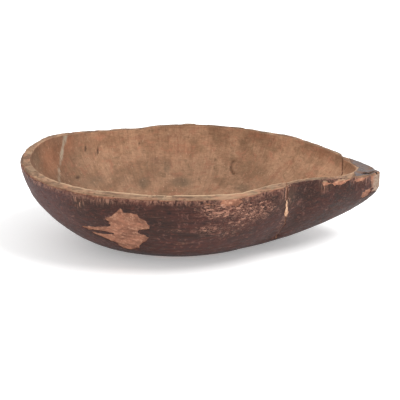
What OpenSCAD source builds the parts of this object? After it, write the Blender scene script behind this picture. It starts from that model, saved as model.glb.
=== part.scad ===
// Carved dug-out bowl, leaf-shaped in plan: a rounded heel at -X, a pointed nose with a solid flat
// top at +X, a worn flat to stand on, and paint on the outside only. The nose broke off and was set
// back on: the break crosses the near wall, follows the grain along the bottom, and crosses the far
// wall nearer the tip. Filler stands where the near wall had lost a splinter.
// Origin: on the floor, under the middle of the length and width. X runs along the bowl, Z is up.

/* [Size] */
// Length from heel to nose, without the paint
bowl_l = 458.8; // [440:0.2:480]
// Width across the widest part, without the paint
bowl_w = 268.8; // [256:0.2:290]
// Height of the rim beside the middle of the bowl
rim_h = 111; // [100:1:124]

/* [Plan outline] */
// How far the widest place lies ahead of the middle of the length
widest_x = -10; // [-20:1:0]
// Fullness of the round heel: 2 is an ellipse, more is squarer
heel_power = 2.2; // [2:0.05:2.6]
// Fullness of the sides towards the nose: 1 is straight
nose_power = 1.68; // [1.6:0.02:2]
// Share of the width that the sides lose on their way to the nose
nose_taper = 0.95; // [0.93:0.01:0.98]
// Depth of the flattened stretch of the near side, just ahead of the break
near_flat = 6; // [0:0.5:8]

/* [Rim] */
// Thickness of the wall at the rim, along the sides
rim_t = 9; // [8:0.5:12]
// Thickness of the wall at the rim, at the heel
heel_t = 13; // [10:0.5:18]
// Length of the solid flat top of the nose
deck_l = 31; // [22:1:36]
// How far the worn outer edge of the rim lies below its inner edge
rim_bevel = 5; // [2:0.5:7]
// How far the rim falls towards the nose
nose_dip = 17.5; // [8:0.5:24]
// How far the rim rises at the heel
heel_lift = 5.5; // [0:0.5:8]
// How far the nose section's far rim sits below the body's at the break
rim_step = 3.5; // [0:0.5:5]

/* [Hull] */
// Length of the worn flat under the bowl
base_l = 166; // [120:2:180]
// Width of the worn flat
base_w = 94; // [70:1:100]
// Middle of the worn flat, behind the middle of the length
base_x = -30; // [-40:1:-20]
// Thickness of the floor
floor_t = 15; // [12:0.5:20]
// Roundness of the hull towards the heel: 1 is straight, 2 is an ellipse
heel_round = 1.54; // [1.4:0.02:1.8]
// Roundness of the hull towards the nose
nose_round = 1.52; // [1.4:0.02:1.8]
// Roundness of the hull towards the sides
side_round = 1.74; // [1.5:0.02:2]
// Upright share of the nose's blunt end
nose_face = 0.14; // [0.04:0.01:0.2]

/* [Break and filler] */
// Where the break crosses the near wall
near_break_x = 105; // [95:1:120]
// Where the break crosses the far wall
far_break_x = 184; // [170:1:190]
// Greatest width of the filler
filler_w = 4.8; // [3:0.2:6]

/* [Paint] */
// Thickness of the paint
paint_t = 0.6; // [0.4:0.1:1]

/* [Fineness] */
// Stations round the bowl
stations = 80; // [48:4:88]
// Rings from the base to the rim
rings = 12; // [8:1:12]

/* [Hidden] */

half_w = bowl_w / 2;
nose_run = bowl_l / 2 - widest_x;
heel_run = bowl_l / 2 + widest_x;
wood_colour = [0.64, 0.48, 0.37];
paint_colour = [0.36, 0.25, 0.22];
filler_colour = [0.78, 0.64, 0.50];

// The upright foot of each wall's curve, as a share of its height, so that no two rings meet
least_face = 0.02;
// The crest of the rim: how far it lies in from the outer edge and below the inner edge
crest_in = 4;
crest_drop = 0.8;
// How squarely both outlines end at the nose: more is blunter
tip_power = 28;
// Share of the width that the hollow loses on its way to the nose
pocket_taper = 0.82;
// The flattened stretch of the near side: its middle and its half length
near_flat_x = 125;
near_flat_run = 24;
// The floor of the hollow, as a share of the worn flat below it
floor_share = 0.84;
// The paint starts at this ring, because it is rubbed off where the bowl stands
first_paint_ring = 2;

// Where the rim starts to fall towards the nose, and how sharply
dip_x = 120;
dip_power = 1.3;
// A shallow waist in the rim behind the middle
waist = 2;
waist_x = -110;

// The break in plan: across the near wall, back a little under it, along the grain of the bottom,
// and across the far wall: [place across, place along]
break_line = [
    [-160, near_break_x], [-72, near_break_x], [-66, near_break_x - 5], [-56, near_break_x - 8],
    [-42, near_break_x - 13], [-24, near_break_x - 6], [-10, 124], [-4, 138], [6, 150],
    [12, far_break_x - 14], [20, far_break_x], [160, far_break_x]
];
reach = 400;

// The filler from the top down: [height, share of its greatest width]
filler_outline = [[91, 0.1], [84, 0.5], [76, 0.7], [70, 1], [64, 0.1]];
// How far in the filler reaches, and a plane clear outside the near wall
filler_in_y = -72;
filler_out_y = -130;

// The large bare patch on the near side, where the paint has flaked off: [along, up]
bare_patch = [
    [-145, 57], [-128, 61], [-117, 63], [-109, 72], [-114, 77], [-106, 82], [-102, 87], [-95, 94],
    [-91, 88], [-78, 89], [-68, 81], [-60, 71], [-61, 66], [-68, 65], [-75, 60], [-69, 56],
    [-61, 57], [-61, 51], [-70, 40], [-75, 29], [-86, 24], [-97, 26], [-102, 35], [-117, 42],
    [-128, 46], [-137, 53]
];

function bell(x, middle, width) = exp(-pow((x - middle) / width, 2));
function side_of(s) = s[1] < -0.0001 ? -1 : 1;

// A station is a direction round the bowl: [1, 0] is the nose, [-1, 0] the heel, [0, -1] near
function station(i) = let (a = 360 * i / stations) [cos(a), sin(a)];

// Half width at a station, as a share of the greatest
function heel_share(c) = pow(max(0, 1 - pow(-c, heel_power)), 1 / heel_power);
function nose_share(c, taper) =
    (1 - taper * pow(c, nose_power)) * sqrt(max(0, 1 - pow(c, tip_power)));

function outline_point(s, width, heel, nose, taper) = let (
    c = s[0],
    x = widest_x + (c < 0 ? heel : nose) * c,
    y = width * (c < 0 ? heel_share(c) : nose_share(c, taper)),
    flat = side_of(s) < 0 ? near_flat * bell(x, near_flat_x, near_flat_run) : 0
) [x, side_of(s) * max(0, y - flat)];

function outline(s) = outline_point(s, half_w, heel_run, nose_run, nose_taper);
function inner_outline(s) =
    outline_point(s, half_w - rim_t, heel_run - heel_t, nose_run - deck_l, pocket_taper);

// Where a station's wall springs from, on the worn flat or on the floor of the hollow
function foot(s, share) = [base_x + base_l / 2 * share * s[0], base_w / 2 * share * s[1]];

function rim_z(x, y, step) = rim_h
    - nose_dip * pow(min(1, max(0, (x - dip_x) / (bowl_l / 2 - dip_x))), dip_power)
    + heel_lift * bell(x, -bowl_l / 2, 70)
    - waist * bell(x, waist_x, 40)
    - (y > 0 ? step * max(0, 1 - abs(x - far_break_x) / 20) : 0);

function roundness(s) = side_round * pow(s[1], 2)
    + (s[0] < 0 ? heel_round : nose_round) * pow(s[0], 2);
function face_share(s) = least_face + (s[0] > 0 ? nose_face * pow(s[0], 2) : 0);

// How far out and how far up a wall has come, part of the way along its curve
function curve_out(part, power) = pow(sin(90 * part), 2 / power);
function curve_up(part, power) = 1 - pow(cos(90 * part), 2 / power);

function wall_point(from, to, from_z, to_z, part, power) = let (
    p = from + (to - from) * curve_out(part, power)
) [p[0], p[1], from_z + (to_z - from_z) * curve_up(part, power)];

function shoulder_z(s, step) = let (o = outline(s)) rim_z(o[0], o[1], step) - rim_bevel;

function hull_point(s, ring, step) = wall_point(
    foot(s, 1), outline(s), 0, shoulder_z(s, step) * (1 - face_share(s)),
    ring / rings, roundness(s)
);

function hollow_point(s, ring, step) = let (edge = inner_outline(s)) wall_point(
    foot(s, floor_share), edge, floor_t, rim_z(edge[0], edge[1], step),
    ring / rings, roundness(s)
);

function shoulder_point(s, step) = let (o = outline(s)) [o[0], o[1], shoulder_z(s, step)];

function crest_point(s, step) = let (
    o = outline(s),
    towards = inner_outline(s) - o,
    p = o + towards / norm(towards) * crest_in
) [p[0], p[1], rim_z(p[0], p[1], step) - crest_drop];

function all_stations() = [for (i = [0:stations - 1]) station(i)];

// Faces between neighbouring rings of points, each quad split in two. Rings from turned_from on
// are split along the other diagonal, so that a skin fits the facets of what it covers.
function band_faces(count, turned_from, closed) = [
    for (k = [0:count - (closed ? 1 : 2)])
    for (i = [0:stations - 1])
    let (
        next_i = (i + 1) % stations,
        above = ((k + 1) % count) * stations,
        a = k * stations + i,
        b = k * stations + next_i,
        c = above + next_i,
        d = above + i
    )
    each (k >= turned_from ? [[a, d, b], [d, c, b]] : [[a, d, c], [a, c, b]])
];

// The whole carved block, as it was before it broke
module carved_block(step = 0) {
    rows = concat(
        [for (k = [0:rings]) [for (s = all_stations()) hull_point(s, k, step)]],
        [[for (s = all_stations()) shoulder_point(s, step)]],
        [[for (s = all_stations()) crest_point(s, step)]],
        [for (k = [rings:-1:0]) [for (s = all_stations()) hollow_point(s, k, step)]]
    );
    last = (len(rows) - 1) * stations;
    polyhedron(
        points = [for (row = rows) each row],
        faces = concat(
            [[for (i = [0:stations - 1]) i]],
            band_faces(len(rows), len(rows), false),
            [[for (i = [stations - 1:-1:0]) last + i]]
        ),
        convexity = 6
    );
}

// Which way is out, square to the hull at a station's ring
function outward(s, ring) = let (
    part = min(ring, rings - 1) / rings,
    power = roundness(s),
    away = outline(s) - foot(s, 1),
    rise = shoulder_z(s, 0) * (curve_up(part + 0.02, power) - curve_up(part, power)),
    run = norm(away) * (curve_out(part + 0.02, power) - curve_out(part, power)),
    plan = away / norm(away),
    size = norm([rise, run])
) [plan[0] * rise / size, plan[1] * rise / size, -run / size];

// A thin skin that fits the facets of the hull from the base's edge to the shoulder of the rim
module paint_skin(step = 0) {
    shoulder = rings + 1;
    wood = [
        for (k = [first_paint_ring:shoulder])
        [for (s = all_stations()) k == shoulder ? shoulder_point(s, step) : hull_point(s, k, step)]
    ];
    face = [
        for (k = [first_paint_ring:shoulder])
        [for (i = [0:stations - 1]) wood[k - first_paint_ring][i]
            + paint_t * outward(station(i), k)]
    ];
    count = len(wood);
    rows = concat(face, [for (k = [count - 1:-1:0]) wood[k]]);
    polyhedron(
        points = [for (row = rows) each row],
        faces = band_faces(2 * count, count, true),
        convexity = 8
    );
}

// Everything on the nose's side of the break
module nose_side() {
    low = -20;
    high = 160;
    translate([0, 0, low])
        linear_extrude(height = high - low)
            polygon([
                for (p = break_line) [p[1], p[0]],
                [reach, break_line[len(break_line) - 1][0]],
                [reach, break_line[0][0]]
            ]);
}

// A slot along the break through the outside of the near wall, narrowing to both its ends
module filler_slot() {
    sides = [
        for (p = filler_outline) [near_break_x - filler_w / 2 * p[1], p[0]],
        for (k = [len(filler_outline) - 1:-1:0]) let (p = filler_outline[k])
            [near_break_x + filler_w / 2 * p[1], p[0]]
    ];
    translate([0, filler_in_y, 0])
        rotate([90, 0, 0])
            linear_extrude(height = filler_in_y - filler_out_y)
                polygon(sides);
}

module bare_patch_hole() {
    rotate([90, 0, 0])
        linear_extrude(height = half_w + 20)
            polygon(bare_patch);
}

module bowl_body() {
    color(wood_colour)
        difference() {
            carved_block();
            nose_side();
            filler_slot();
        }
}

module nose_section() {
    color(wood_colour)
        difference() {
            intersection() {
                carved_block(rim_step);
                nose_side();
            }
            filler_slot();
        }
}

module body_paint() {
    color(paint_colour)
        difference() {
            paint_skin();
            nose_side();
            filler_slot();
            bare_patch_hole();
        }
}

module nose_paint() {
    color(paint_colour)
        difference() {
            intersection() {
                paint_skin(rim_step);
                nose_side();
            }
            filler_slot();
        }
}

module break_filler() {
    color(filler_colour)
        intersection() {
            carved_block();
            filler_slot();
        }
}

bowl_body();
nose_section();
body_paint();
nose_paint();
break_filler();
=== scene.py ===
"""Carved dug-out bowl: wood, old paint and filler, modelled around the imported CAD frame.

All shape work is in millimetres, in the frame's own axes: +X towards the nose, -Y the near side, +Z up.
"""
import math

import bpy
import numpy as np
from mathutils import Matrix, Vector
from mathutils.bvhtree import BVHTree


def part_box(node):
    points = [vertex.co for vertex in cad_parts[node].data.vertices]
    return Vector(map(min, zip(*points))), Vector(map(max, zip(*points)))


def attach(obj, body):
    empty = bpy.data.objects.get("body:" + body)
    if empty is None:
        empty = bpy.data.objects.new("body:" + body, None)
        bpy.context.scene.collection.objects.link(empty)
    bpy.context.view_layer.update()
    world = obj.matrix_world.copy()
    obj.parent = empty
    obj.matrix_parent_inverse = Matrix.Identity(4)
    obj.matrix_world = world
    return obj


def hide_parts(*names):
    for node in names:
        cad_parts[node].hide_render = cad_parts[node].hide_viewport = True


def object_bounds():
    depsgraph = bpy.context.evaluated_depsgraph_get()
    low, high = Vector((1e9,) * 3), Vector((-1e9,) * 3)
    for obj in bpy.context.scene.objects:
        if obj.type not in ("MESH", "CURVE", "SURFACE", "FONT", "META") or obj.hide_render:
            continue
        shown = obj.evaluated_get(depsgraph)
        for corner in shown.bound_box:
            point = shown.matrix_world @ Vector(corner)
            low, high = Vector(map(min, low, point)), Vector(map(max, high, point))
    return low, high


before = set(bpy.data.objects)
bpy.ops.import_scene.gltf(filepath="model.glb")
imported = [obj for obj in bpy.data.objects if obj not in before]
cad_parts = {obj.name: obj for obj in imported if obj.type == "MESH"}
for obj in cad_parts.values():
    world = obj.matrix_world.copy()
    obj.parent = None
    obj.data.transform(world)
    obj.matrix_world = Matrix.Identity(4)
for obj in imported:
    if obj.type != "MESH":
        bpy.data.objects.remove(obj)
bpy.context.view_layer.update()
MM = 0.001


# --- Driving sizes ------------------------------------------------------------------------------

def millimetres(corners):
    return np.array([list(corner) for corner in corners], float) / MM


body_low, body_high = millimetres(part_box("bowl_body"))
nose_high = millimetres(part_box("nose_section"))[1]

# The plan outline, the rim and the hull, as the CAD model draws them
BOWL_L = nose_high[0] - body_low[0]
HALF_W = (body_high[1] - body_low[1]) / 2
HEEL_LIFT = 5.5
RIM_H = body_high[2] - HEEL_LIFT
WIDEST_X = -10.0
HEEL_POWER = 2.2
NOSE_POWER = 1.68
NOSE_TAPER = 0.95
POCKET_TAPER = 0.82
TIP_POWER = 28.0
NEAR_FLAT = 6.0
NEAR_FLAT_X = 125.0
NEAR_FLAT_RUN = 24.0
RIM_T = 9.0
HEEL_T = 13.0
DECK_L = 31.0
RIM_BEVEL = 5.0
CREST_IN = 4.0
CREST_DROP = 0.8
NOSE_DIP = 17.5
DIP_X = 120.0
DIP_POWER = 1.3
WAIST = 2.0
WAIST_X = -110.0
RIM_STEP = 3.5
BASE_L = 166.0
BASE_W = 94.0
BASE_X = -30.0
FLOOR_T = 15.0
FLOOR_SHARE = 0.84
HEEL_ROUND = 1.54
NOSE_ROUND = 1.52
SIDE_ROUND = 1.74
NOSE_FACE = 0.14
LEAST_FACE = 0.02

# The break in plan, as the CAD model draws it, (y, x), and how far the two pieces stand apart
NEAR_BREAK_X = 105.0
FAR_BREAK_X = 184.0
BREAK_LINE = [
    (-160, NEAR_BREAK_X), (-72, NEAR_BREAK_X), (-66, NEAR_BREAK_X - 5), (-56, NEAR_BREAK_X - 8),
    (-42, NEAR_BREAK_X - 13), (-24, NEAR_BREAK_X - 6), (-10, 124), (-4, 138), (6, 150),
    (12, FAR_BREAK_X - 14), (20, FAR_BREAK_X), (160, FAR_BREAK_X),
]
BREAK_GAP = 0.4

# How far in the worn heel stands from the smooth form
HEEL_IN = 2.8

# Outline of the bare patch, (x, z), seen from the near side
BARE_PATCH = [
    (-145, 57), (-128, 61), (-117, 63), (-109, 72), (-114, 77), (-106, 82), (-102, 87), (-95, 94),
    (-91, 88), (-78, 89), (-68, 81), (-60, 71), (-61, 66), (-68, 65), (-75, 60), (-69, 56),
    (-61, 57), (-61, 51), (-70, 40), (-75, 29), (-86, 24), (-97, 26), (-102, 35), (-117, 42),
    (-128, 46), (-137, 53),
]

# Rises and falls left by hand along the rim: side, x, lift and run
RIM_WAVES = [
    (-1, -182, -1.8, 16), (-1, -100, 2.2, 26), (-1, 40, -1.6, 20), (-1, 88, 2.6, 13),
    (-1, 132, -0.6, 14), (-1, 228, 1.6, 8), (1, 228, 1.6, 8), (1, 204, -1.6, 10),
    (1, -190, 1.0, 22), (1, -120, 0.6, 24), (1, -84, -1.4, 12), (1, -10, 2.4, 52),
    (1, 60, 1.6, 26), (1, 120, 0.8, 20),
]

# Places where the paint has flaked away: middle, reach and strength
WORN_PLACES = [
    ((45, -124, 100), (11, 14, 5), 0.8), ((14, -131, 101), (26, 14, 6), 0.5),
    ((30, -118, 84), (34, 18, 14), 0.3), ((176, -54, 100), (28, 14, 5.5), 0.9),
    ((190, -42, 92), (9, 14, 5), 1.0), ((204, -28, 92), (14, 14, 6), 0.8),
    ((222, -9, 84), (8, 12, 15), 1.1), ((209, -20, 71), (9, 10, 7), 1.1),
    ((228, -4, 80), (4, 12, 26), 1.0),
    ((90, -50, 22), (8, 10, 5), 0.8), ((153, -64, 102), (6, 12, 6), 0.5),
    ((-60, 122, 92), (16, 14, 9), 0.7), ((60, 112, 70), (12, 14, 12), 0.6),
    ((-214, 40, 70), (14, 18, 10), 0.62), ((150, 55, 70), (12, 14, 7), 0.6),
    ((-205, -52, 84), (8, 12, 4), 0.4), ((-22, -128, 66), (12, 14, 3), 0.42),
]

# Paint left standing inside the bare patch: middle and reach, (x, z)
PAINT_LEFT = [((-121, 52), (15, 2.6)), ((-68, 60), (6, 4.6)), ((-112, 67), (4, 3)), ((-62, 54), (5, 2))]

# Places where the paint is scuffed, and where threads of it are rubbed through down the wall
SCUFFED_PLACES = [
    ((24, -126, 94), (30, 20, 12), 1.0), ((6, -120, 66), (14, 20, 7), 0.45),
    ((72, -108, 86), (28, 20, 18), 0.6), ((-30, -122, 64), (14, 14, 3), 0.55),
    ((30, -112, 62), (34, 20, 18), 0.4), ((-22, -112, 42), (12, 14, 3), 0.5),
    ((120, -80, 78), (30, 18, 22), 0.25), ((-190, -60, 80), (30, 30, 20), 0.15),
    ((-40, 120, 80), (60, 20, 20), 0.5), ((-215, 0, 80), (20, 50, 30), 0.25),
    ((120, 70, 80), (40, 30, 20), 0.4),
]
THREAD_PLACES = [
    ((107, -92, 100), (8, 14, 15), 1.4), ((-146, -110, 97), (7, 12, 10), 0.9),
    ((153, -65, 100), (7, 12, 9), 0.8), ((-120, -118, 102), (24, 14, 6), 0.5),
]

# The pale streak down the inside of the heel, and the marks inside: middle, reach and strength
STREAK_PATH = [(-177, 82, 116), (-180, 75, 105), (-182, 63, 89), (-183, 47, 77), (-182, 34, 67)]
STAINS = [
    ((-24, 93, 42), (17, 22, 6), 1.0), ((-76, 87, 43), (10, 16, 8), 0.8),
    ((56, 71, 42), (16, 14, 7), 0.7), ((-45, 104, 56), (6, 16, 12), 0.55),
    ((-211, 19, 98), (12, 26, 22), 0.6), ((-104, 92, 46), (10, 20, 9), 0.5),
    ((-40, 118, 98), (60, 12, 6), 0.35), ((193, -18, 88), (12, 12, 22), 0.35),
    ((-198, 42, 62), (20, 24, 16), 0.8), ((-60, 108, 66), (22, 16, 12), 0.35),
    ((110, 84, 66), (24, 18, 12), 0.4), ((-140, 70, 52), (24, 24, 10), 0.6),
]
DARK_MARKS = [
    ((-161, 58, 62), (4.2, 6, 2.2), 1.0), ((-153, 89, 91), (1.7, 12, 5), 0.8),
    ((-137, 96, 86), (1.4, 12, 8), 0.8), ((-140, 96, 82), (1.4, 12, 4), 0.6),
    ((-82, 116, 89), (1.8, 12, 6), 0.5), ((63, 106, 101), (5, 10, 1.8), 0.6),
    ((20, 107, 68), (2.0, 8, 1.6), 0.8), ((19, 100, 57), (1.4, 8, 6), 0.45),
    ((-218, 16, 112), (5, 9, 8), 0.9), ((-168, 74, 82), (2.0, 8, 3), 0.5),
    ((-186, 60, 98), (1.6, 9, 7), 0.5), ((-116, 104, 96), (1.6, 12, 5), 0.5),
    ((-46, 117, 84), (9, 12, 1.6), 0.4), ((82, 98, 101), (1.6, 12, 7), 0.45),
    ((184, 26, 92), (1.6, 9, 12), 0.5), ((-12, 118, 72), (1.4, 12, 8), 0.35),
    ((-172, 60, 74), (2.4, 9, 2), 0.5), ((-176, 64, 64), (2.2, 9, 3), 0.5),
]
WARM_PLACES = [
    ((-196, 50, 92), (20, 34, 26), 1.0), ((-173, 80, 102), (9, 14, 14), 0.9),
    ((-30, 116, 80), (30, 16, 12), 0.4), ((82, 100, 106), (12, 10, 4), 0.9),
    ((159, 49, 98), (7, 10, 8), 0.9), ((190, 17, 90), (6, 12, 9), 0.4),
    ((-120, 100, 100), (30, 14, 12), 0.35),
]

# Short slips of the gouge: middle and reach
SLIPS = [(-153, 89, 90), (-138, 96, 85), (-82, 116, 89), (19, 100, 57)]
SLIP_REACH = (1.6, 12, 7)

# Where a gouge turned on the far wall, (x, z)
TURN_X = 48.5
TURN_Z = 61.5

# The break where it shows below the filler
CRACK = [(104, -80, 66), (102, -78, 59), (100, -71, 47), (96, -62, 36), (93, -52, 24)]

# A short split in the top of the nose
DECK_SPLIT = [(203, -21), (208, -17), (214, -13), (219, -7), (224, -6)]

# How finely the bowl is drawn
STATIONS = 600
HULL_ROWS = 74
RIM_ROWS = 20
HOLLOW_ROWS = 66
CAP_ROWS = 9
PAINT_T = 0.45
CARVE_RADIUS = 150.0


# --- Noise and small shaping functions ----------------------------------------------------------

def lattice(ix, iy, iz, seed):
    """A fixed pseudo-random number from 0 to 1 for each whole-number point."""
    h = (ix * 374761393 + iy * 668265263 + iz * 1274126177 + seed * 974634777) & 0xFFFFFFFF
    h = ((h ^ (h >> 13)) * 1103515245) & 0xFFFFFFFF
    h = ((h ^ (h >> 16)) * 2246822519) & 0xFFFFFFFF
    return ((h ^ (h >> 15)) & 0xFFFFFF) / float(0xFFFFFF)


def noise(points, size, seed=0):
    """Smooth noise from -1 to 1, with bumps of this size (one number or one for each axis)."""
    p = points / np.asarray(size, float) + 1000.37
    base = np.floor(p).astype(np.int64)
    f = p - base
    f = f * f * f * (f * (f * 6 - 15) + 10)
    total = 0.0
    for dx in (0, 1):
        for dy in (0, 1):
            for dz in (0, 1):
                share = (
                    (f[..., 0] if dx else 1 - f[..., 0])
                    * (f[..., 1] if dy else 1 - f[..., 1])
                    * (f[..., 2] if dz else 1 - f[..., 2])
                )
                corner = (base[..., 0] + dx, base[..., 1] + dy, base[..., 2] + dz)
                total = total + share * lattice(*corner, seed)
    return total * 2 - 1


def rough(points, size, seed=0, octaves=3, gain=0.5):
    """Noise with finer and finer detail, from about -1 to 1."""
    size = np.asarray(size, float)
    total, strength, whole = 0.0, 1.0, 0.0
    for octave in range(octaves):
        total = total + strength * noise(points, size / 2 ** octave, seed + 31 * octave)
        whole += strength
        strength *= gain
    return total / whole


def smooth(low, high, value):
    """0 below low, 1 above high, and a smooth step between."""
    t = np.clip((value - low) / (high - low), 0, 1)
    return t * t * (3 - 2 * t)


def bell(value, middle, width):
    return np.exp(-(((value - middle) / width) ** 2))


def blob(points, middle, reach):
    """1 at a point, falling to nothing past its reach along each axis."""
    offset = (points - np.array(middle, float)) / np.array(reach, float)
    return np.exp(-(offset ** 2).sum(-1))


def add_marks(total, points, places):
    """Adds soft spots, each given by its middle, reach and strength."""
    for middle, reach, strength in places:
        total = total + strength * blob(points, middle, reach)
    return total


def path_distance(points, path):
    """How far each point is from a path of straight stretches."""
    nearest = np.full(points.shape[:-1], 1e9)
    for start, end in zip(path[:-1], path[1:]):
        start, end = np.array(start, float), np.array(end, float)
        along = end - start
        share = np.clip(((points - start) @ along) / (along @ along), 0, 1)
        nearest = np.minimum(nearest, np.linalg.norm(points - start - share[..., None] * along, axis=-1))
    return nearest


def outside_of(polygon, x, z):
    """Distance outside a closed outline, negative inside it."""
    corners = np.array(polygon, float)
    spot = np.stack([x, z], -1)
    nearest = path_distance(spot, np.vstack([corners, corners[:1]]))
    inside = np.zeros(x.shape, bool)
    for (x0, z0), (x1, z1) in zip(corners, np.roll(corners, -1, 0)):
        crosses = (z0 > z) != (z1 > z)
        inside ^= crosses & (x < (x1 - x0) * (z - z0) / (z1 - z0 + 1e-9) + x0)
    return np.where(inside, -nearest, nearest)


# --- The carved form: a grid of rows over the surface and stations round it ----------------------

def outline(cosine, sine, width, heel_run, nose_run, taper):
    """The plan outline of the outside or of the hollow."""
    reach = np.abs(cosine)
    x = WIDEST_X + np.where(cosine < 0, heel_run, nose_run) * cosine
    heel = np.clip(1 - reach ** HEEL_POWER, 0, 1) ** (1 / HEEL_POWER)
    nose = (1 - taper * reach ** NOSE_POWER) * np.sqrt(np.clip(1 - reach ** TIP_POWER, 0, 1))
    y = width * np.where(cosine < 0, heel, nose)
    y = y - np.where(sine < -1e-4, NEAR_FLAT * bell(x, NEAR_FLAT_X, NEAR_FLAT_RUN), 0)
    return np.stack([x, np.where(sine < -1e-4, -1, 1) * np.maximum(y, 0)], -1)


def rim_height(x, y, step):
    fall = np.clip((x - DIP_X) / (BOWL_L / 2 - DIP_X), 0, 1) ** DIP_POWER
    height = RIM_H - NOSE_DIP * fall
    height = height + HEEL_LIFT * bell(x, -BOWL_L / 2, 70) - WAIST * bell(x, WAIST_X, 40)
    return height - np.where(y > 0, step * np.clip(1 - np.abs(x - FAR_BREAK_X) / 20, 0, 1), 0)


def carved_form(step):
    """The smooth block: its points (rows, stations, 3) and each row's kind."""
    angle = np.linspace(0, 2 * np.pi, STATIONS, endpoint=False)
    c, s = np.cos(angle), np.sin(angle)
    heel_run, nose_run = BOWL_L / 2 + WIDEST_X, BOWL_L / 2 - WIDEST_X
    outer = outline(c, s, HALF_W, heel_run, nose_run, NOSE_TAPER)
    inner = outline(c, s, HALF_W - RIM_T, heel_run - HEEL_T, nose_run - DECK_L, POCKET_TAPER)
    power = SIDE_ROUND * s ** 2 + np.where(c < 0, HEEL_ROUND, NOSE_ROUND) * c ** 2
    face = LEAST_FACE + np.where(c > 0, NOSE_FACE * c ** 2, 0)
    centre = np.array([BASE_X, 0.0])
    foot = centre + np.stack([BASE_L / 2 * c, BASE_W / 2 * s], -1)
    floor_foot = centre + (foot - centre) * FLOOR_SHARE
    inner_z = rim_height(inner[:, 0], inner[:, 1], step)
    shoulder_z = rim_height(outer[:, 0], outer[:, 1], step) - RIM_BEVEL
    inward = (inner - outer) / np.linalg.norm(inner - outer, axis=1)[:, None]
    crest = outer + inward * CREST_IN
    crest_z = rim_height(crest[:, 0], crest[:, 1], step) - CREST_DROP
    rows, kinds = [], []

    def add(kind, plan, height):
        rows.append(np.concatenate([plan, np.broadcast_to(height, c.shape)[:, None]], -1))
        kinds.append(kind)

    def add_wall(kind, start, end, start_z, end_z, part):
        out = np.sin(part * np.pi / 2) ** (2 / power)
        up = 1 - np.cos(part * np.pi / 2) ** (2 / power)
        add(kind, start + (end - start) * out[:, None], start_z + (end_z - start_z) * up)

    for part in np.linspace(0.004, 1, CAP_ROWS, endpoint=False):
        add("base", centre + (foot - centre) * part, 0.0)
    for part in np.linspace(0, 1, HULL_ROWS):
        add_wall("hull", foot, outer, 0.0, shoulder_z * (1 - face), part)
    for part in np.linspace(0, 1, RIM_ROWS):
        turn = min(part / 0.45, 1) * np.pi / 2
        over = max(part - 0.45, 0) / 0.55
        plan = outer + (crest - outer) * (1 - math.cos(turn)) + (inner - crest) * over
        rise = (crest_z - shoulder_z) * math.sin(turn)
        add("rim", plan, shoulder_z + rise + (inner_z - crest_z) * over)
    for part in np.linspace(1, 0, HOLLOW_ROWS)[1:]:
        add_wall("hollow", floor_foot, inner, FLOOR_T, inner_z, part)
    for part in np.linspace(1, 0.004, CAP_ROWS)[1:]:
        add("floor", centre + (floor_foot - centre) * part, FLOOR_T)
    return np.array(rows), np.array(kinds)


def grid_normals(points):
    """Outward normals of the grid, which closes on itself round the stations."""
    around = np.roll(points, -1, 1) - np.roll(points, 1, 1)
    along = np.empty_like(points)
    along[1:-1] = points[2:] - points[:-2]
    along[0] = points[1] - points[0]
    along[-1] = points[-1] - points[-2]
    normals = np.cross(around, along)
    return normals / np.maximum(np.linalg.norm(normals, axis=-1, keepdims=True), 1e-9)


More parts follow.
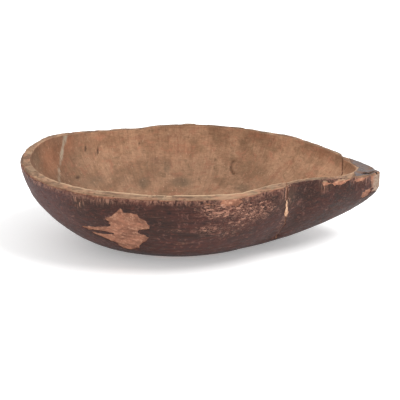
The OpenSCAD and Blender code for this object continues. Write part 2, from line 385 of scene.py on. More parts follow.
class Form:
    """One weathered copy of the carved block, with what the materials need to know of each point."""

    def __init__(self, step):
        points, kinds = carved_form(step)
        self.kinds = kinds
        inner_edge = np.where(kinds == "rim")[0][-1]
        steps = np.linalg.norm(np.diff(points, axis=0), axis=-1)
        run = np.concatenate([np.zeros((1, STATIONS)), np.cumsum(steps, axis=0)])
        self.from_edge = run - run[inner_edge]
        angle = np.linspace(0, 2 * np.pi, STATIONS, endpoint=False)[None, :]
        self.carve = np.stack([
            CARVE_RADIUS * np.cos(angle) + 0 * run,
            CARVE_RADIUS * np.sin(angle) + 0 * run,
            self.from_edge,
        ], -1)
        is_hull = (kinds == "hull")[:, None]
        is_rim = (kinds == "rim")[:, None]
        is_inside = ((kinds == "hollow") | (kinds == "floor"))[:, None]
        self.inside = smooth(-1.5, 2.5, self.from_edge) * np.where(is_hull, 0, 1)
        self.span = self.edge_span(points, inner_edge)
        self.wall = smooth(122, 72, self.from_edge)
        self.points = self.weather(points, is_hull, is_rim, is_inside, inner_edge)
        self.normals = grid_normals(self.points)

    def edge_span(self, points, inner_edge):
        """How wide the top of the wall is at each station."""
        first_rim = np.where(self.kinds == "rim")[0][0]
        return np.linalg.norm(points[inner_edge] - points[first_rim], axis=-1)

    def weather(self, points, is_hull, is_rim, is_inside, inner_edge):
        """The marks of the tools and of use, then the waves of the rim."""
        normals = grid_normals(points)
        x, z = points[..., 0], points[..., 2]
        push = np.where(is_hull, self.adze_marks(points), 0)
        push = push + np.where(is_inside, self.gouge_cuts(points) * smooth(0, 14, self.from_edge), 0)
        push = push + np.where(is_rim, self.rim_grooves(points), 0)
        moved = points + normals * push[..., None]
        near_rim = smooth(-42, -8, self.from_edge) * smooth(34, 4, self.from_edge)
        near_rim = np.where(is_hull | is_rim | is_inside, near_rim, 0)
        moved[..., 2] += near_rim * self.rim_wave(points)
        moved[..., 0] += HEEL_IN * smooth(-196, -226, x) * smooth(50, 92, z)
        moved[..., 1] += 1.1 * near_rim * rough(points, (46, 90, 200), 25, 2)
        return self.soften(moved, inner_edge)

    def adze_marks(self, points):
        """Shallow hollows over the hull, the torn wood of the bare patch and a small hole."""
        x, y, z = points[..., 0], points[..., 1], points[..., 2]
        cut = 0.9 * rough(points, 58, 1) + 0.4 * rough(points, (30, 15, 13), 2, 2)
        cut = cut + 0.14 * rough(points, (46, 3.2, 2.6), 3, 2)
        torn = smooth(-1, 4, -outside_of(BARE_PATCH, x, z)) * (y < 0)
        cut = cut - torn * (0.7 + 0.3 * rough(points, (9, 4, 3), 4))
        hole = blob(points, (97, -56, 28), (4.5, 8, 4)) * 3.2
        return cut * smooth(1, 16, z) - hole

    def gouge_cuts(self, points):
        """Scallops down the wall and along the floor, deeper in the narrow end."""
        wall_cuts = np.abs(rough(self.carve, (8.5, 8.5, 46), 11, 2))
        floor_cuts = np.abs(rough(points, (48, 11, 11), 14, 2))
        scallops = floor_cuts + (wall_cuts - floor_cuts) * self.wall
        pocket = smooth(150, 185, points[..., 0])
        cut = 0.9 * rough(points, 52, 12) - (0.75 + 0.9 * pocket) * scallops
        return cut + 0.16 * rough(points, (14, 3, 3), 13, 2) + self.dents(points)

    def rim_grooves(self, points):
        """Grooves along the rim, the split in the nose's top, and chips."""
        grooves = 0.45 * rough(points, (34, 3.0, 2.4), 21, 2) + 0.3 * rough(points, (9, 6, 6), 22)
        grooves = grooves - 1.8 * smooth(1.9, 0.5, path_distance(points[..., :2], DECK_SPLIT))
        return grooves - smooth(0.42, 0.7, noise(points, (11, 8, 8), 23)) * 1.1

    def rim_wave(self, points):
        x, y = points[..., 0], points[..., 1]
        lift = 0.7 * rough(points, (30, 60, 400), 24, 2)
        for side, middle, height, run in RIM_WAVES:
            lift = lift + np.where(y * side > 0, height * bell(x, middle, run), 0)
        notch = blob(points, (-221, 18, 116), (7, 4, 9)) + 0.6 * blob(points, (-216, 8, 110), (5, 6, 9))
        return lift - 3.2 * notch

    def dents(self, points):
        """A curved dent low on the far wall, and a few short gouge slips."""
        slips = 0.0
        for middle in SLIPS:
            slips = slips + blob(points, middle, SLIP_REACH)
        raised = curved_dent(points, 4.2, 2.2)
        return 1.4 * raised - 2.6 * curved_dent(points, 7.6, 2.0) - 0.9 * slips

    def soften(self, points, inner_edge):
        """Rounds the arris between the rim and the hollow."""
        rounded = points.copy()
        for _ in range(3):
            band = slice(inner_edge - 2, inner_edge + 3)
            before = rounded[inner_edge - 3:inner_edge + 2]
            after = rounded[inner_edge - 1:inner_edge + 4]
            rounded[band] = rounded[band] * 0.5 + (before + after) * 0.25
        return rounded


def curved_dent(points, radius, width):
    """Where a gouge turned on the far wall: a band round half a circle, open towards the nose."""
    x, z = points[..., 0], points[..., 2]
    ring = np.hypot(x - TURN_X, (z - TURN_Z) * 0.95)
    return bell(ring, radius, width) * smooth(TURN_X + 2.5, TURN_X - 4.5, x) * (points[..., 1] > 0)


def break_x(y, z):
    """Where the break passes at this width and height."""
    across, along = zip(*BREAK_LINE)
    spot = np.stack([0 * y, y, z], -1)
    return np.interp(y, across, along) + 0.9 * rough(spot, 13, 41, 2) + 0.35 * noise(spot, 3.5, 42)


# --- Mesh building ------------------------------------------------------------------------------

def new_object(name, verts, faces, smooth_faces=True):
    mesh = bpy.data.meshes.new(name)
    mesh.from_pydata((np.asarray(verts) * MM).tolist(), [], [list(map(int, f)) for f in faces])
    mesh.polygons.foreach_set("use_smooth", [smooth_faces] * len(mesh.polygons))
    mesh.update()
    made = bpy.data.objects.new(name, mesh)
    bpy.context.scene.collection.objects.link(made)
    return made


def store(mesh, name, kind, values):
    layer = mesh.attributes.new(name, kind, "POINT")
    field = "vector" if kind == "FLOAT_VECTOR" else "value"
    layer.data.foreach_set(field, np.asarray(values, np.float32).ravel())


def grid_quads(rows, stations):
    k, i = np.meshgrid(np.arange(rows - 1), np.arange(stations), indexing="ij")
    j = (i + 1) % stations
    corners = [k * stations + i, k * stations + j, (k + 1) * stations + j, (k + 1) * stations + i]
    return np.stack(corners, -1).reshape(-1, 4)


def interior_marks(points):
    """The marks inside, as a mask for each: the pale streak, stains, dark marks with painted shade along the
    curved dent, and warm places.
    """
    fade = smooth(30, 80, points[..., 2])
    streak = path_distance(points, STREAK_PATH) + 1.5 * rough(points, (5, 5, 12), 51)
    streak = smooth(3.8, 1.0, streak + 0.9 * (1 - fade)) * (0.6 + 0.4 * fade)
    # The curved-dent term is painted shade: a dark band along the heel side of the dent on the far wall.
    dark = add_marks(0.0, points, DARK_MARKS) + 0.6 * curved_dent(points, 7.4, 1.9)
    return {
        "streak": streak,
        "stain": np.clip(add_marks(0.0, points, STAINS), 0, 1),
        "dark": np.clip(dark, 0, 1),
        "warm": np.clip(add_marks(0.0, points, WARM_PLACES), 0, 1),
    }


def block(form, name, material):
    """The whole carved block as one closed mesh, before it is split at the break."""
    rows = len(form.points)
    verts = form.points.reshape(-1, 3)
    faces = grid_quads(rows, STATIONS).tolist()
    faces.append(list(range(STATIONS - 1, -1, -1)))
    faces.append([(rows - 1) * STATIONS + i for i in range(STATIONS)])
    made = new_object(name, verts, faces)
    inside = form.inside.reshape(-1)
    top = (form.kinds == "rim")[:, None] * smooth(-10.5, -6.5, form.from_edge + form.span - RIM_T)
    store(made.data, "carve", "FLOAT_VECTOR", form.carve.reshape(-1, 3) * MM)
    store(made.data, "inside", "FLOAT", inside)
    store(made.data, "wall", "FLOAT", form.wall.reshape(-1))
    x, y = form.points[..., 0], form.points[..., 1]
    # The edge mask is a painted highlight: a pale line along the inner arris, on the near side only and not
    # at the heel.
    edge = bell(form.from_edge, -1.4, 1.7) * smooth(12, -12, y) * smooth(-205, -160, x)
    store(made.data, "edge", "FLOAT", edge.reshape(-1))
    store(made.data, "top", "FLOAT", np.broadcast_to(top, form.from_edge.shape).reshape(-1))
    for label, mask in interior_marks(verts).items():
        store(made.data, label, "FLOAT", mask * inside)
    store(made.data, "split", "FLOAT", smooth(2.0, 0.9, path_distance(verts[:, :2], DECK_SPLIT)))
    made.data.materials.append(material)
    return made


def slab(near, far, rows, columns):
    """A closed solid between two grids of points, the near one facing outwards."""
    a, b = np.meshgrid(np.arange(rows - 1), np.arange(columns - 1), indexing="ij")
    here = a * columns + b
    quads = np.stack([here, here + 1, here + columns + 1, here + columns], -1).reshape(-1, 4)
    ring = (
        [i * columns for i in range(rows)]
        + [(rows - 1) * columns + j for j in range(1, columns)]
        + [i * columns + columns - 1 for i in range(rows - 2, -1, -1)]
        + [j for j in range(columns - 2, 0, -1)]
    )
    count = rows * columns
    skirt = [[p, q, q + count, p + count] for p, q in zip(ring, ring[1:] + ring[:1])]
    return np.vstack([near, far]), quads.tolist() + (quads[:, ::-1] + count).tolist() + skirt


def break_cutter(towards_nose, gap, material):
    """A solid on one side of the break, its near face the broken surface itself."""
    y = np.linspace(-165, 165, 221)
    z = np.linspace(-20, 140, 107)
    yy, zz = np.meshgrid(y, z, indexing="ij")
    near = np.stack([break_x(yy, zz) + gap, yy, zz], -1).reshape(-1, 3)
    far = near.copy()
    far[:, 0] = BOWL_L if towards_nose else -BOWL_L
    verts, faces = slab(near, far, len(y), len(z))
    if not towards_nose:
        faces = [face[::-1] for face in faces]
    made = new_object("cutter", verts, faces)
    made.data.materials.append(material)
    return made


def cut(piece, cutter):
    """Takes the cutter's space away from a piece and keeps the result as its mesh."""
    boolean = piece.modifiers.new("break", "BOOLEAN")
    boolean.operation = "DIFFERENCE"
    boolean.solver = "MANIFOLD"
    boolean.material_mode = "TRANSFER"
    boolean.object = cutter
    graph = bpy.context.evaluated_depsgraph_get()
    result = bpy.data.meshes.new_from_object(piece.evaluated_get(graph))
    piece.modifiers.clear()
    piece.data = result
    bpy.data.objects.remove(cutter)
    return piece


# --- Paint --------------------------------------------------------------------------------------

def below_paint_edge(form, points):
    """How far below the upper edge of the paint each point is."""
    x, y = points[..., 0], points[..., 1]
    near = smooth(4, -4, y)
    edge = 9.6 + 2.0 * bell(x, -118, 26) * near + 1.8 * bell(x, 42, 15) * near
    edge = edge - 6.4 * smooth(98, 110, x) * smooth(212, 170, x) * near + 1.6 * bell(x, -205, 22)
    spread = np.maximum(form.span - RIM_T, 0)[None, :]
    return -form.from_edge - edge - spread


def paint_cover(form, points):
    """How far inside the painted area each point is, in millimetres; negative where it is bare."""
    x, y, z = points[..., 0], points[..., 1], points[..., 2]
    ragged = 1.5 * rough(points, (11, 11, 16), 61) + 1.3 * rough(points, (4, 4, 5), 62, 2)
    cover = below_paint_edge(form, points) - ragged
    patch = outside_of(BARE_PATCH, x, z) + 1.3 * rough(points, 7, 63) + 1.1 * noise(points, 2.4, 64)
    for (middle_x, middle_z), (reach_x, reach_z) in PAINT_LEFT:
        left = 1 - np.hypot((x - middle_x) / reach_x, (z - middle_z) / reach_z)
        patch = np.maximum(patch, left * reach_z + 0.9 * noise(points, 2.6, 66))
    cover = np.minimum(cover, np.where(y < 0, patch, 99))
    lost = 0.55 * rough(points, (12, 7, 4.2), 65, 4, 0.6)
    lost = add_marks(lost, points, WORN_PLACES) + 0.7 * smooth(7, 1, z)
    return np.minimum(np.minimum(cover, (0.6 - lost) * 9), z - PAINT_T - 0.3)


def deck_cover(form, points):
    """The same for the flat top of the nose."""
    in_from_shoulder = form.span[None, :] + form.from_edge + RIM_BEVEL
    rim_side = in_from_shoulder - np.where(points[..., 1] < 0, 9.0, 4.0)
    pocket_side = -form.from_edge - 3.0
    blotch = 1.8 * rough(points, (8, 6, 6), 71, 4)
    split = path_distance(points[..., :2], DECK_SPLIT) - 1.5
    cover = np.minimum(np.minimum(rim_side, pocket_side), points[..., 0] - 194)
    return np.minimum(cover + blotch, split)


def clip_triangles(triangles, cover):
    """Cuts triangles where cover passes through nothing. Returns triangles and the new corners' parents."""
    count = len(cover)
    above = cover[triangles] > 0
    amount = above.sum(1)
    kept = [triangles[amount == 3]]
    pieces = []
    for odd_above, wanted in ((True, 1), (False, 2)):
        group = triangles[amount == wanted]
        odd = np.argmax((cover[group] > 0) == odd_above, axis=1)
        index = (odd[:, None] + np.arange(3)[None, :]) % 3
        pieces.append((odd_above, np.take_along_axis(group, index, 1)))
    edges = np.concatenate([np.concatenate([g[:, [0, 1]], g[:, [0, 2]]]) for _, g in pieces])
    ordered = np.sort(edges, 1)
    parents, where = np.unique(ordered, axis=0, return_inverse=True)
    where = where.reshape(-1) + count
    start = 0
    for odd_above, group in pieces:
        first = where[start:start + len(group)]
        second = where[start + len(group):start + 2 * len(group)]
        start += 2 * len(group)
        if odd_above:
            kept.append(np.stack([group[:, 0], first, second], 1))
        else:
            kept.append(np.stack([first, group[:, 1], group[:, 2]], 1))
            kept.append(np.stack([first, group[:, 2], second], 1))
    return np.concatenate(kept), parents


def with_cut_corners(values, parents, share):
    """Values at the corners of a grid, followed by those at the new corners where it was cut."""
    share = share.reshape([-1] + [1] * (values.ndim - 1))
    return np.concatenate([values, values[parents[:, 0]] * (1 - share) + values[parents[:, 1]] * share])


def film_cover(form, nose_side):
    """How far inside the paint of one side of the break each point is, in millimetres."""
    points = form.points
    cover = np.maximum(paint_cover(form, points), deck_cover(form, points))
    off_break = points[..., 0] - break_x(points[..., 1], points[..., 2])
    off_break = off_break if nose_side else -off_break
    torn = 0.3 + 1.2 * np.clip(rough(points, (5, 5, 9), 68), 0, 1)
    return np.minimum(cover, off_break - BREAK_GAP / 2 - torn)


def film_solid(points, normals, triangles):
    """Corners and faces of a closed film: its face, its back and the walls round every edge."""
    count = len(points)
    crazing = 0.1 * rough(points, (5, 2.5, 2.5), 69, 2)
    face = points + normals * (PAINT_T + crazing)[:, None]
    back = points - normals * 0.25
    sides = np.concatenate([triangles[:, [0, 1]], triangles[:, [1, 2]], triangles[:, [2, 0]]])
    keys = sides[:, 0] * count + sides[:, 1]
    loose = sides[~np.isin(keys, sides[:, 1] * count + sides[:, 0])]
    walls = np.stack([loose[:, 1], loose[:, 0], loose[:, 0] + count, loose[:, 1] + count], 1)
    faces = triangles.tolist() + (triangles[:, ::-1] + count).tolist() + walls.tolist()
    return np.vstack([face, back]), faces


def film_marks(points, normals, below_edge):
    """The marks on the paint, as a mask for each: scuffs, threads, the nose's upward-facing top where a grey
    sheen is painted, the frayed edge.
    """
    x = points[:, 0]
    scuff = add_marks(0.0, points, SCUFFED_PLACES) + 0.3 * smooth(9, 2, path_distance(points, CRACK))
    return {
        "scuff": scuff,
        "threads": add_marks(0.0, points, THREAD_PLACES),
        # This mask marks the nose's upward-facing top, where the grey sheen of the overhead light is painted
        # into the colour.
        "deck_top_sheen": smooth(0.55, 0.8, normals[:, 2]) * smooth(190, 196, x),
        "fray": smooth(11, 0, below_edge) * (1 - 0.6 * smooth(98, 110, x) * smooth(165, 150, x)),
    }


def paint_film(form, name, nose_side, material):
    """A closed film over the painted part of one side of the break."""
    first = np.where(form.kinds == "hull")[0][0] + 2
    last = np.where(form.kinds == "rim")[0][-1]
    rows = slice(first, last + 1)
    cover = film_cover(form, nose_side)[rows].reshape(-1)
    quads = grid_quads(last - first + 1, STATIONS)
    triangles = np.concatenate([quads[:, [0, 1, 2]], quads[:, [0, 2, 3]]])
    triangles, parents = clip_triangles(triangles, cover)
    used, triangles = np.unique(triangles, return_inverse=True)
    start, end = cover[parents[:, 0]], cover[parents[:, 1]]
    share = np.clip(start / (start - end), 0.04, 0.96)
    points, normals, below_edge = [
        with_cut_corners(values, parents, share)[used] for values in (
            form.points[rows].reshape(-1, 3),
            form.normals[rows].reshape(-1, 3),
            below_paint_edge(form, form.points)[rows].reshape(-1),
        )
    ]
    made = new_object(name, *film_solid(points, normals, triangles.reshape(-1, 3)))
    for label, mask in film_marks(points, normals, below_edge).items():
        store(made.data, label, "FLOAT", np.tile(np.clip(mask, 0, 1), 2))
    made.data.materials.append(material)
    return made


def filler_lump(form, material):
    """Old filler squeezed out of the break and left proud of the near side."""
    hull = form.points[form.kinds == "hull"]
    skin = BVHTree.FromPolygons(hull.reshape(-1, 3).tolist(), grid_quads(len(hull), STATIONS).tolist())
    heights = np.linspace(64, 91, 40)
    across = np.linspace(-1, 1, 13)
    tops, lows = [], []
    for z in heights:
        bulb = 1.5 * bell(z, 73, 5.5) + 0.55 * smooth(95, 84, z)
        half = (0.5 + 1.2 * bulb) * smooth(63.5, 67, z)
        half = half * (1 + 0.3 * float(noise(np.array([z, 0.0, 3.0]), 4, 81)))
        middle = near_side_y(skin, NEAR_BREAK_X, z)
        for share in across:
            x = float(break_x(np.array(middle), np.array(z))) + share * half + 0.5
            y = near_side_y(skin, x, z)
            crown = 1.1 * math.sqrt(max(1 - share ** 2, 0)) * (0.6 + 0.5 * bulb)
            ripple = 0.18 * float(noise(np.array([x, y, z]), 2.2, 82))
            tops.append((x, y - crown - ripple - 0.05, z))
            lows.append((x, y + 2.0, z))
    verts, faces = slab(np.array(tops), np.array(lows), len(heights), len(across))
    made = new_object("break_filler_lump", verts, faces)
    made.data.materials.append(material)
    return made


def near_side_y(skin, x, z):
    """Where the near side of the hull is at this length and height."""
    return skin.ray_cast(Vector((x, -200, z)), Vector((0, 1, 0)))[0].y


# --- Materials ----------------------------------------------------------------------------------

def tone(red, green, blue):
    """A screen colour, 0 to 255, as the linear colour that a shader takes."""
    parts = [v / 255 for v in (red, green, blue)]
    return tuple(p / 12.92 if p <= 0.04045 else ((p + 0.055) / 1.055) ** 2.4 for p in parts) + (1.0,)


class Surface:
    """A material under construction. Each method adds nodes and returns the socket to use next."""

    def __init__(self, name):
        self.material = bpy.data.materials.new(name)
        self.material.use_nodes = True
        self.tree = self.material.node_tree
        self.shader = self.tree.nodes["Principled BSDF"]
        self.place = self.tree.nodes.new("ShaderNodeTexCoord").outputs["Object"]

    def plug(self, socket, value):
        if isinstance(value, bpy.types.NodeSocket):
            self.tree.links.new(value, socket)
        else:
            socket.default_value = value

    def layer(self, name, output="Fac"):
        node = self.tree.nodes.new("ShaderNodeAttribute")
        node.attribute_name = name
        return node.outputs[output]

    def axis(self, index):
        """How far along one axis of the bowl, in metres."""
        node = self.tree.nodes.new("ShaderNodeSeparateXYZ")
        self.plug(node.inputs["Vector"], self.place)
        return node.outputs[index]

    def noise(self, size, seed=0.0, detail=3.0, roughness=0.55, swirl=0.0, coords=None):
        """Noise with features of this size in millimetres, one number or one for each axis."""
        sizes = size if isinstance(size, tuple) else (size, size, size)
        mapping = self.tree.nodes.new("ShaderNodeMapping")
        self.plug(mapping.inputs["Vector"], coords or self.place)
        mapping.inputs["Scale"].default_value = [1 / (s * MM) for s in sizes]
        mapping.inputs["Location"].default_value = (seed * 3.7, seed * 1.9, seed * 5.3)
        node = self.tree.nodes.new("ShaderNodeTexNoise")
        self.plug(node.inputs["Vector"], mapping.outputs["Vector"])
        node.inputs["Scale"].default_value = 1.0
        node.inputs["Detail"].default_value = detail
        node.inputs["Roughness"].default_value = roughness
        node.inputs["Distortion"].default_value = swirl
        return node.outputs["Fac"]

    def ramp(self, value, low, high, start=0.0, end=1.0):
        node = self.tree.nodes.new("ShaderNodeMapRange")
        node.interpolation_type = "SMOOTHSTEP"
        self.plug(node.inputs["Value"], value)
        self.plug(node.inputs["From Min"], low)
        self.plug(node.inputs["From Max"], high)
        node.inputs["To Min"].default_value = start
        node.inputs["To Max"].default_value = end
        return node.outputs["Result"]

    def sum(self, *terms):
        return self.chain("ADD", terms)

    def times(self, *terms):
        return self.chain("MULTIPLY", terms)

    def chain(self, operation, terms):
        total = terms[0]
        for term in terms[1:]:
            node = self.tree.nodes.new("ShaderNodeMath")
            node.operation = operation
            self.plug(node.inputs[0], total)
            self.plug(node.inputs[1], term)
            total = node.outputs[0]
        return total

    def line(self, value, middle, width):
        """1 where a noise passes through a value, falling to 0 a little way off: thin curved strokes."""
        node = self.tree.nodes.new("ShaderNodeMath")
        node.operation = "ABSOLUTE"
        self.plug(node.inputs[0], self.sum(value, -middle))
        return self.ramp(node.outputs[0], width, 0.0)

    def mix(self, first, second, share):
        node = self.tree.nodes.new("ShaderNodeMix")
        node.data_type = "RGBA"
        self.plug(node.inputs["Factor"], share)
        self.plug(node.inputs["A"], first)
        self.plug(node.inputs["B"], second)
        return node.outputs["Result"]

    def shade(self, colour, share):
        """Multiplies a colour by a grey value."""
        node = self.tree.nodes.new("ShaderNodeVectorMath")
        node.operation = "SCALE"
        self.plug(node.inputs[0], colour)
        self.plug(node.inputs["Scale"], share)
        return node.outputs[0]

    def finish(self, colour, roughness, height, bump_mm, specular):
        self.plug(self.shader.inputs["Base Color"], colour)
        self.plug(self.shader.inputs["Roughness"], roughness)
        self.shader.inputs["Specular IOR Level"].default_value = specular
        bump = self.tree.nodes.new("ShaderNodeBump")
        bump.inputs["Strength"].default_value = 1.0
        bump.inputs["Distance"].default_value = bump_mm * MM
        self.plug(bump.inputs["Height"], height)
        self.plug(self.shader.inputs["Normal"], bump.outputs["Normal"])
        return self.material


def fibres(surface):
    """The run of the grain, along the bowl: 0 to 1."""
    long_grain = surface.noise((60, 1.6, 1.6), 1, 4, 0.6)
    fine_grain = surface.noise((22, 0.7, 0.7), 2, 2, 0.6)
    return surface.sum(surface.times(long_grain, 0.6), surface.times(fine_grain, 0.4))


def mottled_tan(s, blotch, patch):
    """Tan wood in soft blotches, darker low down, with painted shade on the wall inside the heel, warm or
    stained in places.
    """
    colour = s.mix(tone(174, 134, 105), tone(146, 110, 84), s.ramp(blotch, 0.4, 0.58))
    colour = s.mix(colour, tone(168, 117, 91), s.ramp(patch, 0.5, 0.66, 0.0, 0.65))
    colour = s.mix(colour, tone(138, 108, 82), s.ramp(patch, 0.46, 0.32, 0.0, 0.7))
    drift = s.times(s.sum(blotch, -0.5), 0.05)
    low = s.ramp(s.sum(s.axis(2), drift), 0.04, 0.1, 0.66, 0.98)
    # The heel ramp is painted shade: it darkens the wall inside the heel.
    heel = s.ramp(s.sum(s.axis(0), drift), -0.19, -0.13, 0.46, 1.0)
    colour = s.shade(colour, s.times(low, heel, s.ramp(s.axis(0), 0.04, 0.14, 1.0, 1.16)))
    colour = s.mix(colour, tone(150, 94, 66), s.times(s.layer("warm"), 0.42))
    stained = s.ramp(s.sum(s.layer("stain"), s.times(s.sum(patch, -0.5), 1.5)), 0.2, 0.8, 0.0, 0.7)
    return s.mix(colour, tone(100, 82, 64), stained)


def hollow_colour(s, grain):
    """The worn inside: mottled tan, faint gouge strokes down the wall, specks, the pale streak."""
    carve = s.layer("carve", "Vector")
    strokes = s.noise((5.0, 5.0, 60), 3, 3, 0.6, 0.4, carve)
    fine_strokes = s.noise((1.9, 1.9, 20), 4, 3, 0.65, 0.3, carve)
    mottle = s.noise((7, 5, 5), 18, 5, 0.74)
    colour = mottled_tan(s, s.noise(34, 5, 4, 0.6), s.noise((13, 13, 10), 6, 4, 0.65, 0.6))
    colour = s.shade(colour, s.ramp(mottle, 0.3, 0.68, 0.88, 1.12))
    coarse_shade = s.ramp(strokes, 0.34, 0.66, -0.05, 0.04)
    stroke_shade = s.sum(coarse_shade, s.ramp(fine_strokes, 0.32, 0.68, -0.09, 0.07))
    colour = s.shade(colour, s.sum(s.times(stroke_shade, s.layer("wall")), 1.0))
    colour = s.shade(colour, s.ramp(grain, 0.36, 0.62, 0.93, 1.07))
    specks = s.ramp(s.noise((2.2, 2.2, 8), 7, 4, 0.65), 0.58, 0.72, 0.0, 0.5)
    colour = s.mix(colour, tone(98, 70, 52), specks)
    pale = s.ramp(s.noise((2.6, 2.6, 9), 8, 3, 0.6), 0.6, 0.76, 0.0, 0.45)
    colour = s.mix(colour, tone(196, 160, 132), pale)
    # The dark marks include painted shade along the curved dent on the far wall.
    marked = s.ramp(s.sum(s.layer("dark"), s.times(s.sum(mottle, -0.5), 1.0)), 0.26, 0.7, 0.0, 0.85)
    colour = s.mix(colour, tone(70, 48, 36), marked)
    streak = s.times(s.layer("streak"), s.ramp(fine_strokes, 0.34, 0.56, 0.35, 1.0))
    return s.mix(colour, tone(152, 137, 118), streak)


def rim_colour(s):
    """The worn edge: tan with dark grooves along it, grey stretches, and a pale painted highlight along the
    near inner arris.
    """
    grooves = s.noise((40, 40, 1.1), 9, 4, 0.65)
    colour = s.mix(tone(150, 118, 93), tone(120, 91, 71), s.ramp(s.noise(20, 10, 4, 0.6), 0.38, 0.62))
    colour = s.mix(colour, tone(136, 119, 96), s.ramp(s.noise((30, 18, 18), 11, 3), 0.5, 0.66, 0.0, 0.35))
    colour = s.mix(colour, tone(154, 110, 86), s.ramp(s.noise((16, 16, 7), 12, 3), 0.52, 0.66, 0.0, 0.6))
    colour = s.shade(colour, s.ramp(grooves, 0.38, 0.58, 0.58, 1.12))
    colour = s.shade(colour, s.ramp(s.axis(0), -0.2, -0.16, 1.06, 0.9))
    # Painted highlight: the pale line along the near inner arris.
    painted_arris_highlight = s.times(s.layer("edge"), s.ramp(grooves, 0.36, 0.48, 0.35, 0.9))
    colour = s.mix(colour, tone(178, 148, 119), painted_arris_highlight)
    nick = s.ramp(s.noise((7, 4, 2), 13, 4), 0.6, 0.69, 0.0, 0.75)
    colour = s.mix(colour, tone(74, 54, 42), nick)
    return s.mix(colour, tone(22, 16, 14), s.layer("split"))


def bare_colour(s, grain):
    """Wood that the paint has come away from: pinkish terracotta, greyer at the blunt tip."""
    mottle = s.noise((7, 5, 4.5), 19, 5, 0.7)
    cloud = s.ramp(s.noise((22, 14, 10), 14, 4, 0.6), 0.38, 0.62)
    colour = s.mix(tone(146, 98, 76), tone(116, 76, 58), cloud)
    colour = s.mix(colour, tone(178, 132, 106), s.ramp(s.noise((5, 4, 6), 15, 4, 0.7), 0.48, 0.68, 0.0, 0.75))
    colour = s.shade(colour, s.ramp(mottle, 0.32, 0.68, 0.82, 1.16))
    colour = s.shade(colour, s.ramp(grain, 0.38, 0.6, 0.86, 1.08))
    remnant = s.ramp(s.noise((6, 4, 3), 16, 4, 0.7), 0.56, 0.66, 0.0, 0.7)
    colour = s.mix(colour, tone(96, 60, 50), remnant)
    tip = s.ramp(s.axis(0), 0.216, 0.224, 0.0, 0.9)
    return s.mix(colour, s.mix(tone(150, 132, 116), tone(112, 92, 78), s.ramp(mottle, 0.4, 0.6)), tip)


def wood_material():
    s = Surface("weathered_wood")
    grain = fibres(s)
    colour = s.mix(bare_colour(s, grain), rim_colour(s), s.ramp(s.layer("top"), 0.1, 0.5))
    colour = s.mix(colour, hollow_colour(s, grain), s.ramp(s.layer("inside"), 0.25, 0.85))
    pits = s.noise((3.5, 1.2, 1.2), 17, 3, 0.6)
    height = s.sum(s.times(grain, 0.7), s.times(pits, 0.5))
    return s.finish(colour, s.ramp(pits, 0.3, 0.7, 0.72, 0.9), height, 0.5, 0.3)


def broken_material():
    s = Surface("broken_wood")
    splinters = s.noise((9, 2.2, 2.2), 21, 4, 0.7)
    colour = s.mix(tone(72, 50, 38), tone(142, 104, 76), s.ramp(splinters, 0.36, 0.66))
    return s.finish(colour, 0.9, splinters, 1.2, 0.2)


def coat_colour(s, grain, cloud, mottle):
    """The coat itself: dark red-brown, greyish at the heel, a painted blue-grey reflection of the floor along
    the bottom, darker to the nose.
    """
    colour = s.mix(tone(64, 37, 32), tone(52, 33, 28), s.ramp(cloud, 0.38, 0.62))
    heel = s.ramp(s.sum(s.axis(0), s.times(s.sum(cloud, -0.5), 0.08)), -0.1, -0.2, 0.0, 0.8)
    colour = s.mix(colour, tone(86, 62, 60), heel)
    colour = s.mix(colour, tone(86, 50, 42), s.ramp(mottle, 0.5, 0.72, 0.0, 0.8))
    colour = s.mix(colour, tone(36, 25, 23), s.ramp(mottle, 0.48, 0.3, 0.0, 0.8))
    colour = s.shade(colour, s.ramp(grain, 0.36, 0.62, 0.72, 1.28))
    colour = s.mix(colour, tone(124, 86, 76), s.ramp(s.noise((6, 5, 7), 38, 3, 0.6), 0.57, 0.72, 0.0, 0.5))
    colour = s.shade(colour, s.ramp(s.axis(0), 0.02, 0.14, 0.95, 0.82))
    # Painted reflection: blue-grey along the lowest 20 mm of the hull stands for the floor reflected in the
    # paint.
    colour = s.mix(colour, tone(60, 56, 60), s.ramp(s.axis(2), 0.02, 0.004, 0.0, 0.7))
    grime = s.times(s.layer("threads"), s.ramp(cloud, 0.3, 0.7, 0.3, 0.6))
    return s.mix(colour, tone(72, 54, 42), grime)


def rubbed_through(s):
    """Where the wood shows: curls and strokes in the scuffs, flakes, threads and the frayed edge."""
    scuff, fray = s.layer("scuff"), s.layer("fray")
    curls = s.line(s.noise((12, 4.2, 3.4), 33, 4, 0.6, 1.8), 0.5, 0.045)
    strokes = s.ramp(s.noise((24, 1.7, 1.4), 34, 3, 0.6, 0.5), 0.6, 0.7)
    flakes = s.ramp(s.sum(s.noise((7, 3.4, 2.8), 35, 4, 0.7), s.times(scuff, 0.14)), 0.62, 0.68)
    threads = s.ramp(s.noise((1.7, 1.7, 26), 36, 3, 0.55), 0.53, 0.62)
    frayed = s.ramp(s.sum(s.noise((3.4, 3.4, 8), 37, 5, 0.75, 0.8), s.times(fray, 0.14)), 0.52, 0.74)
    return s.chain("MAXIMUM", (
        s.times(curls, s.ramp(scuff, 0.15, 0.7)),
        s.times(strokes, s.ramp(scuff, 0.0, 0.7, 0.3, 1.0), 0.8),
        s.times(flakes, s.ramp(scuff, 0.1, 0.5, 0.15, 1.0)),
        s.times(threads, s.layer("threads"), 0.9),
        s.times(frayed, s.ramp(fray, 0.0, 0.7, 0.0, 0.6)),
    ))


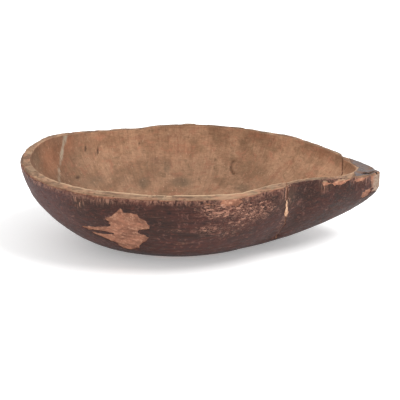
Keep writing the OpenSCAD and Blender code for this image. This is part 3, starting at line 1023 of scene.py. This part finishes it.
def paint_material():
    """Old dark red-brown paint, rubbed through to the wood in places; on the nose's top, brown and dark
    patches of paint under a painted grey reflection of the overhead light.
    """
    s = Surface("old_paint")
    grain = fibres(s)
    cloud = s.noise((60, 40, 30), 31, 4, 0.6)
    mottle = s.noise((9, 6, 4.5), 32, 5, 0.72, 0.5)
    through = rubbed_through(s)
    worn_tone = s.mix(tone(180, 132, 110), tone(128, 88, 74), s.ramp(mottle, 0.38, 0.62))
    colour = s.mix(coat_colour(s, grain, cloud, mottle), worn_tone, s.times(through, 0.9))
    # Painted reflection: the grey stands for the sheen of the overhead light on the nose's top; the brown and
    # dark patches are the paint itself.
    deck_paint_and_sheen = s.mix(tone(98, 91, 90), tone(106, 84, 72), s.ramp(mottle, 0.46, 0.58))
    deck_paint_and_sheen = s.mix(deck_paint_and_sheen, tone(40, 34, 34), s.ramp(mottle, 0.45, 0.32, 0.0, 0.85))
    colour = s.mix(colour, deck_paint_and_sheen, s.times(s.layer("deck_top_sheen"), 0.95))
    roughness = s.ramp(mottle, 0.3, 0.7, 0.46, 0.68)
    height = s.sum(s.times(grain, 0.5), s.times(mottle, 0.4), s.times(through, -0.35))
    return s.finish(colour, roughness, height, 0.4, 0.14)


def filler_material():
    s = Surface("dried_filler")
    crumbs = s.noise((2.2, 2.2, 3), 41, 4, 0.65)
    colour = s.mix(tone(204, 166, 136), tone(160, 118, 90), s.ramp(crumbs, 0.4, 0.6))
    colour = s.mix(colour, tone(150, 108, 84), s.ramp(s.noise((4, 4, 7), 42, 3), 0.58, 0.7, 0.0, 0.7))
    return s.finish(colour, 0.85, crumbs, 0.4, 0.3)


def floor_material():
    s = Surface("pale_floor")
    haze = s.noise(700, 51, 1)
    colour = s.mix((0.92, 0.92, 0.92, 1), (0.94, 0.94, 0.94, 1), haze)
    s.shader.inputs["Emission Color"].default_value = (1, 1, 1, 1)
    s.shader.inputs["Emission Strength"].default_value = 0.27
    return s.finish(colour, 0.95, haze, 0.01, 0.05)


# --- Pieces -------------------------------------------------------------------------------------

def place(piece, node):
    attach(piece, "root")
    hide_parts(node)


def build_bowl():
    wood, broken, paint = wood_material(), broken_material(), paint_material()
    body_form, nose_form = Form(0.0), Form(RIM_STEP)
    body = block(body_form, "bowl_body_wood", wood)
    cut(body, break_cutter(True, -BREAK_GAP / 2, broken))
    nose = block(nose_form, "nose_section_wood", wood)
    cut(nose, break_cutter(False, BREAK_GAP / 2, broken))
    place(body, "bowl_body")
    place(nose, "nose_section")
    place(paint_film(body_form, "body_paint_film", False, paint), "body_paint")
    place(paint_film(nose_form, "nose_paint_film", True, paint), "nose_paint")
    place(filler_lump(body_form, filler_material()), "break_filler")


# --- Studio -------------------------------------------------------------------------------------

def build_floor():
    half = 8000
    corners = [(-half, -half, 0), (half, -half, 0), (half, half, 0), (-half, half, 0)]
    floor = new_object("floor", np.array(corners, float), [(0, 1, 2, 3)], False)
    floor.data.materials.append(floor_material())


def soft_light(name, size, power, place_at, aim):
    lamp = bpy.data.lights.new(name, "AREA")
    lamp.shape = "DISK"
    lamp.size = size
    lamp.energy = power
    made = bpy.data.objects.new(name, lamp)
    bpy.context.scene.collection.objects.link(made)
    made.location = place_at
    made.rotation_euler = (Vector(aim) - Vector(place_at)).to_track_quat("-Z", "Y").to_euler()


def build_studio():
    world = bpy.data.worlds.new("studio")
    world.use_nodes = True
    world.node_tree.nodes["Background"].inputs["Color"].default_value = (1, 1, 1, 1)
    world.node_tree.nodes["Background"].inputs["Strength"].default_value = 0.92
    bpy.context.scene.world = world
    bpy.context.scene.view_settings.view_transform = "Standard"
    soft_light("key", 1.2, 40, (1.0, -0.45, 1.8), (0, 0, 0.05))


def build_camera():
    low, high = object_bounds()
    aim = Vector(((low[0] + high[0]) / 2, (low[1] + high[1]) / 2, 0.0536))
    elevation = math.radians(22)
    distance = 1.8
    data = bpy.data.cameras.new("camera")
    data.sensor_width = 36
    data.lens = 36 * distance / 0.514
    camera = bpy.data.objects.new("camera", data)
    bpy.context.scene.collection.objects.link(camera)
    camera.location = aim + distance * Vector((0, -math.cos(elevation), math.sin(elevation)))
    camera.rotation_euler = (math.pi / 2 - elevation, 0, 0)
    bpy.context.scene.camera = camera


build_camera()
build_bowl()
build_floor()
build_studio()
